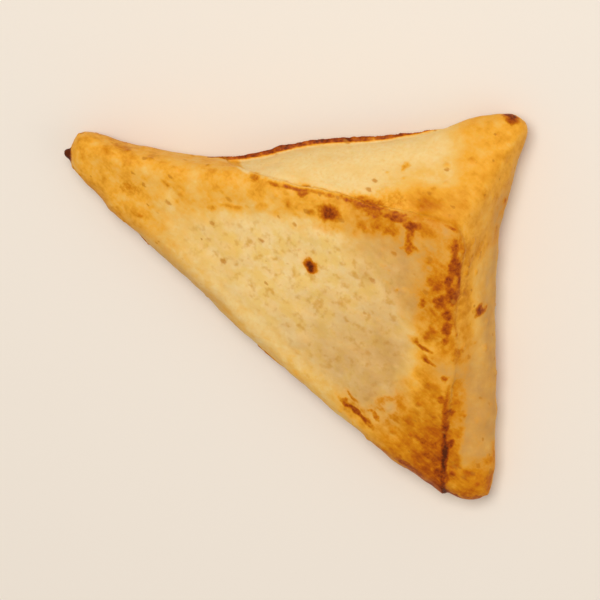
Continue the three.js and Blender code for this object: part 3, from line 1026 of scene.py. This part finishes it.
object_place = paint.add("ShaderNodeTexCoord", out=3)
in_mm = paint.scaled(object_place, 1000.0)
baked = shade_attribute("toast")
broad, mid, fine = grain(0.16, 3.0), grain(0.42, 3.0, 11), grain(1.5, 3.0, 23)
uneven = plus(plus(swing(broad, BROADLY), swing(mid, PATCHILY)), swing(fine, FINELY))
toast_at = plus(baked, times(uneven, shade_attribute("lively")))

# Freckles: one in a few cells of a loose cellular pattern, drawn out along the strip, is a brown dot.
sway = grain(0.9, 2.0, 61, out=1)
sway = paint.add("ShaderNodeVectorMath", sway, (0.5, 0.5, 0.5), operation="SUBTRACT")
drawn_out = paint.add("ShaderNodeVectorMath", in_mm, paint.scaled(sway, 0.9), operation="ADD")
drawn_out = paint.add("ShaderNodeVectorMath", drawn_out, (0.6, 1.0, 1.0), operation="MULTIPLY")
cells = paint.nodes.new("ShaderNodeTexVoronoi")
cells.inputs["Scale"].default_value = 0.55
paint.tree.links.new(drawn_out, cells.inputs["Vector"])
luck = paint.add("ShaderNodeSeparateColor", cells.outputs["Color"])
size_luck = paint.add("ShaderNodeSeparateColor", cells.outputs["Color"], out=1)
size = paint.add("ShaderNodeMapRange", size_luck, 0.0, 1.0, *FRECKLE_SIZES)
from_centre = paint.math("DIVIDE", cells.outputs["Distance"], size)
dot = paint.math("SUBTRACT", 1.0, between(from_centre, 0.55, 1.25))
lucky = between(plus(luck, times(baked, 0.6)), 0.88, 1.0)
freckle = times(dot, lucky)
toast_at = plus(toast_at, times(freckle, 0.06))
toast_at = plus(toast_at, times(shade_attribute("blister"), RAISED_BROWNS))

# Browned places are streaked along the long side, and the scorch marks are ragged.
streak_place = paint.add("ShaderNodeVectorMath", in_mm, (0.3, 1.0, 1.0), operation="MULTIPLY")
streak = paint.add("ShaderNodeTexNoise", streak_place, 0.7, 3.0, 0.6)
toast_at = plus(toast_at, times(swing(streak, 0.3), baked))
scorched = plus(shade_attribute("scorch"), swing(fine, 0.26))
toast_at = paint.math("SMOOTH_MAX", toast_at, scorched, 0.14)

ramp = paint.nodes.new("ShaderNodeValToRGB")
paint.tree.links.new(toast_at, ramp.inputs[0])
while len(ramp.color_ramp.elements) < len(TOAST_COLOURS):
    ramp.color_ramp.elements.new(0.5)
for element, (position, colour) in zip(ramp.color_ramp.elements, TOAST_COLOURS):
    element.position, element.color = position, colour
colour = ramp.outputs[0]

# Where the filling keeps the sheet moist, its yellow and its herbs show through.
unbrowned = paint.math("SUBTRACT", 1.0, between(toast_at, 0.35, 0.6))
filled = times(shade_attribute("filling"), unbrowned)
yellow_patch = between(grain(0.3, 4.0, 37, 0.6), 0.42, 0.62)
fleck = between(grain(0.6, 2.0, 71, 0.5), 0.50, 0.76)
colour = blend(times(filled, 0.5), colour, MOIST)
colour = blend(times(times(filled, yellow_patch), 0.6), colour, YELLOWED)
colour = blend(times(times(filled, fleck), 0.8), colour, SPICED)
# Tan blended in, partly the crust's own tan and partly painted shade.
tanned_and_shaded = times(times(shade_attribute("tan_and_shade"), unbrowned), plus(0.66, swing(grain(0.3, 3.0, 83), 0.5)))
colour = blend(tanned_and_shaded, colour, TAN_AND_SHADE)
colour = blend(times(freckle, 0.65), colour, FRECKLED)

# A dull sheen, oilier in some patches; light goes a little way into the crust.
oily = grain(0.4, 3.0, 51)
rough = paint.add("ShaderNodeMapRange", oily, 0.3, 0.7, 0.42, 0.6)
pores = plus(times(grain(2.6, 5.0, 5), 0.6), times(grain(7.0, 2.0, 9), 0.25))
bump = paint.nodes.new("ShaderNodeBump")
bump.inputs["Strength"].default_value = 0.5
bump.inputs["Distance"].default_value = 0.12 * MM
paint.tree.links.new(pores, bump.inputs["Height"])

shader = paint.nodes.new("ShaderNodeBsdfPrincipled")
shader.inputs["Subsurface Weight"].default_value = 0.15
shader.inputs["Subsurface Radius"].default_value = (1.0, 0.5, 0.22)
shader.inputs["Subsurface Scale"].default_value = 1.6 * MM
shader.inputs["IOR"].default_value = 1.45
shader.inputs["Specular IOR Level"].default_value = 0.14
for name, value in {"Base Color": colour, "Roughness": rough, "Normal": bump.outputs[0]}.items():
    paint.tree.links.new(value, shader.inputs[name])
output = paint.nodes.new("ShaderNodeOutputMaterial")
paint.tree.links.new(shader.outputs[0], output.inputs["Surface"])

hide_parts("samosa")
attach(samosa, "root")

# ---- Table, light and camera -----------------------------------------------------------------------
# A pale, plain table in soft light: a large lamp high up and a weaker one on the right.

FLOOR_HALF = 1.5
LIGHT_COLOUR = (1.0, 0.98, 0.965)
SKY_STRENGTH = 0.42

floor_mesh = bpy.data.meshes.new("floor")
corners = [(x * FLOOR_HALF, y * FLOOR_HALF, 0.0) for x, y in ((-1, -1), (1, -1), (1, 1), (-1, 1))]
floor_mesh.from_pydata(corners, [], [(0, 1, 2, 3)])
floor_object = bpy.data.objects.new("floor", floor_mesh)
bpy.context.scene.collection.objects.link(floor_object)
pale = bpy.data.materials.new("pale_floor")
pale.use_nodes = True
pale_shader = pale.node_tree.nodes["Principled BSDF"]
pale_shader.inputs["Base Color"].default_value = srgb(236, 226, 212)
pale_shader.inputs["Roughness"].default_value = 0.7
floor_mesh.materials.append(pale)

scene = bpy.context.scene
scene.view_settings.view_transform = "Standard"
world = bpy.data.worlds.new("studio")
scene.world = world
world.use_nodes = True
sky = world.node_tree.nodes["Background"]
sky.inputs["Color"].default_value = (*LIGHT_COLOUR, 1.0)
sky.inputs["Strength"].default_value = SKY_STRENGTH


def aim(obj, target):
    obj.rotation_euler = (Vector(target) - obj.location).to_track_quat("-Z", "Y").to_euler()


def soft_box(name, location, size, power):
    light = bpy.data.lights.new(name, "AREA")
    light.shape = "SQUARE"
    light.size = size
    light.energy = power
    light.color = LIGHT_COLOUR
    box = bpy.data.objects.new(name, light)
    box.location = location
    scene.collection.objects.link(box)
    aim(box, (0, 0, 0.01))


soft_box("key", (-0.17, 0.2, 0.8), 0.4, 4.5)
soft_box("fill", (0.6, 0.3, 0.5), 0.6, 0.77)

# The camera looks down from 15 degrees off the vertical, from the far side, and is rolled so that the
# long side runs down to the right.
TILT = math.radians(15)
ROLL = math.radians(40.7)
DISTANCE, LENS = 0.8, 248
TARGET = Vector((0.0008, -0.0207, 0.008))
camera_data = bpy.data.cameras.new("camera")
camera_data.lens = LENS
camera = bpy.data.objects.new("camera", camera_data)
scene.collection.objects.link(camera)
away = Vector((0, math.sin(TILT), math.cos(TILT)))
level, upright = Vector((1, 0, 0)), Vector((0, math.cos(TILT), -math.sin(TILT)))
right = level * math.cos(ROLL) + upright * math.sin(ROLL)
up = upright * math.cos(ROLL) - level * math.sin(ROLL)
camera.location = TARGET + away * DISTANCE
camera.rotation_euler = Matrix((right, up, away)).transposed().to_euler()
scene.camera = camera
